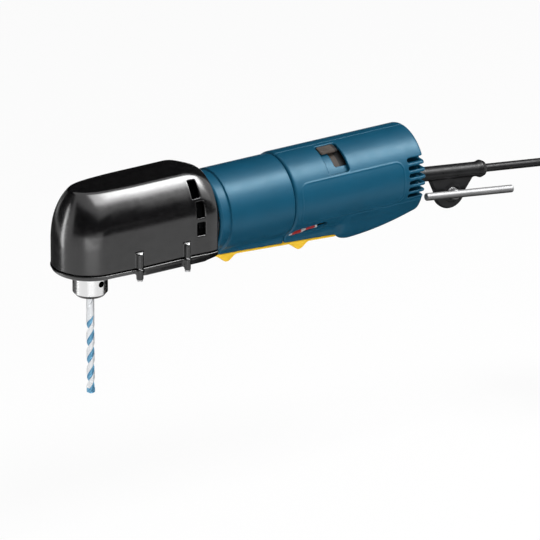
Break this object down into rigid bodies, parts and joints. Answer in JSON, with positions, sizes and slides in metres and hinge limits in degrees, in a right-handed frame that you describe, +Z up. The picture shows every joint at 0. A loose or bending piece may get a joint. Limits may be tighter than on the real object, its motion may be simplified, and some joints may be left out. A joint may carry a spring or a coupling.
{
  "type": "right angle drill",
  "caption": "Corded right angle drill: black angle head with keyed chuck and bit, blue grip with paddle switch and reversing lever, rubber cord sleeve with key holder.",
  "frame": {"origin": "middle of the grip on the motor axis", "axes": "+X along the motor axis from the chuck to the cord, +Z up away from the bit"},
  "size_m": [0.5086, 0.1109, 0.2738],
  "materials": {
    "black_plastic": "satin moulded plastic",
    "blue_plastic": "satin moulded plastic",
    "yellow_plastic": "satin moulded plastic",
    "red_plastic": "satin moulded plastic",
    "grey_plastic": "moulded plastic",
    "ivory_plastic": "moulded plastic",
    "cast_alloy": "as cast",
    "steel": "turned",
    "dark_steel": "oiled",
    "bright_chrome": "ground and polished",
    "bit_steel": "ground lands, blue flutes",
    "copper": "enamelled",
    "carbon": "pressed carbon",
    "brass": "stamped",
    "black_rubber": "matt rubber"
  },
  "bodies": {
    "housing": {"head_cover": "black_plastic", "head_base": "black_plastic", "head_screws": "steel", "gear_case": "cast_alloy", "bearing_plate": "cast_alloy", "gear_plate": "cast_alloy", "spindle_upper_bearing": "steel", "spindle_lower_bearing": "steel", "pinion_bearing": "steel", "intermediate_bearing": "steel", "armature_front_bearing": "steel", "armature_rear_bearing": "steel", "rear_bearing_sleeve": "black_rubber", "air_guide": "grey_plastic", "stator_core": "dark_steel", "field_coils": "copper", "motor_housing": "blue_plastic", "rear_shell_left": "blue_plastic", "rear_shell_right": "blue_plastic", "shell_screws": "steel", "paddle_pin": "steel", "paddle_spring": "steel", "switch_module": "black_plastic", "capacitor": "yellow_plastic", "inner_lead": "black_rubber", "cord_clamp": "grey_plastic", "clamp_screws": "steel", "strain_relief": "black_rubber", "power_cord": "black_rubber", "cord_coil": "black_rubber", "cord_tail": "black_rubber", "cord_tie": "black_rubber", "plug_body": "black_rubber", "plug_pins": "steel"},
    "armature": {"armature_shaft": "dark_steel", "armature_core": "dark_steel", "armature_winding": "copper", "commutator": "copper", "cooling_fan": "ivory_plastic"},
    "intermediate": {"bevel_pinion_shaft": "dark_steel", "intermediate_gear": "dark_steel"},
    "spindle_body": {"spindle": "dark_steel", "crown_gear": "dark_steel", "spindle_circlip": "dark_steel", "chuck_body": "bright_chrome", "drill_bit": "bit_steel"},
    "sleeve_body": {"chuck_sleeve": "bright_chrome", "chuck_nut": "steel"},
    "jaw_1": {"chuck_jaw_1": "dark_steel"},
    "jaw_2": {"chuck_jaw_2": "dark_steel"},
    "jaw_3": {"chuck_jaw_3": "dark_steel"},
    "paddle_body": {"paddle": "yellow_plastic"},
    "plunger": {"switch_plunger": "ivory_plastic"},
    "brush_gear": {"brush_plate": "grey_plastic", "brush_holders": "brass", "carbon_brushes": "carbon", "direction_lever": "grey_plastic"},
    "lock": {"lock_slide": "red_plastic"},
    "key": {"chuck_key": "steel", "key_bar": "steel"}
  },
  "joints": [
    {"name": "armature_spin", "type": "hinge", "parent": "housing", "child": "armature", "pos_m": [-0.15, 0, 0], "axis": [1, 0, 0], "continuous": true},
    {"name": "intermediate_spin", "type": "hinge", "parent": "housing", "child": "intermediate", "pos_m": [-0.15, 0, 0.018], "axis": [1, 0, 0], "continuous": true},
    {"name": "spindle_spin", "type": "hinge", "parent": "housing", "child": "spindle_body", "pos_m": [-0.15, 0, 0], "axis": [0, 0, 1], "continuous": true},
    {"name": "sleeve_turn", "type": "hinge", "parent": "spindle_body", "child": "sleeve_body", "pos_m": [-0.15, 0, 0], "axis": [0, 0, 1], "range_deg": [0, 1080]},
    {"name": "jaw_1_slide", "type": "slide", "parent": "spindle_body", "child": "jaw_1", "axis": [-0.0289, 0.2059, 0.9781], "range_m": [0, 0.009]},
    {"name": "jaw_2_slide", "type": "slide", "parent": "spindle_body", "child": "jaw_2", "axis": [-0.1638, -0.128, 0.9781], "range_m": [0, 0.009]},
    {"name": "jaw_3_slide", "type": "slide", "parent": "spindle_body", "child": "jaw_3", "axis": [0.1928, -0.0779, 0.9781], "range_m": [0, 0.009]},
    {"name": "paddle_press", "type": "hinge", "parent": "housing", "child": "paddle_body", "pos_m": [-0.044, 0, -0.0339], "axis": [0, -1, 0], "range_deg": [0, 2], "stiffness_Nm_per_rad": 2, "springref_deg": -3.44, "deforming": ["paddle_spring"]},
    {"name": "plunger_push", "type": "slide", "parent": "housing", "child": "plunger", "axis": [0, 0, 1], "range_m": [0, 0.0038]},
    {"name": "reversing_lever", "type": "hinge", "parent": "housing", "child": "brush_gear", "pos_m": [-0.15, 0, 0], "axis": [1, 0, 0], "range_deg": [0, 29]},
    {"name": "lock_travel", "type": "slide", "parent": "housing", "child": "lock", "axis": [0.9903, -0.1066, 0.0895], "range_m": [0, 0.008]},
    {"name": "key_pull", "type": "slide", "parent": "housing", "child": "key", "axis": [0, -1, 0], "range_m": [0, 0.03]}
  ],
  "couplings": [
    {"joint": "intermediate_spin", "follows": "armature_spin", "ratio": -0.23077},
    {"joint": "spindle_spin", "follows": "armature_spin", "ratio": -0.062937},
    {"joint": "plunger_push", "follows": "paddle_press", "m_per_rad": 0.1075},
    {"joint": "jaw_2_slide", "follows": "jaw_1_slide", "ratio": 1},
    {"joint": "jaw_3_slide", "follows": "jaw_1_slide", "ratio": 1},
    {"joint": "sleeve_turn", "follows": "jaw_1_slide", "rad_per_m": 2094.4}
  ]
}
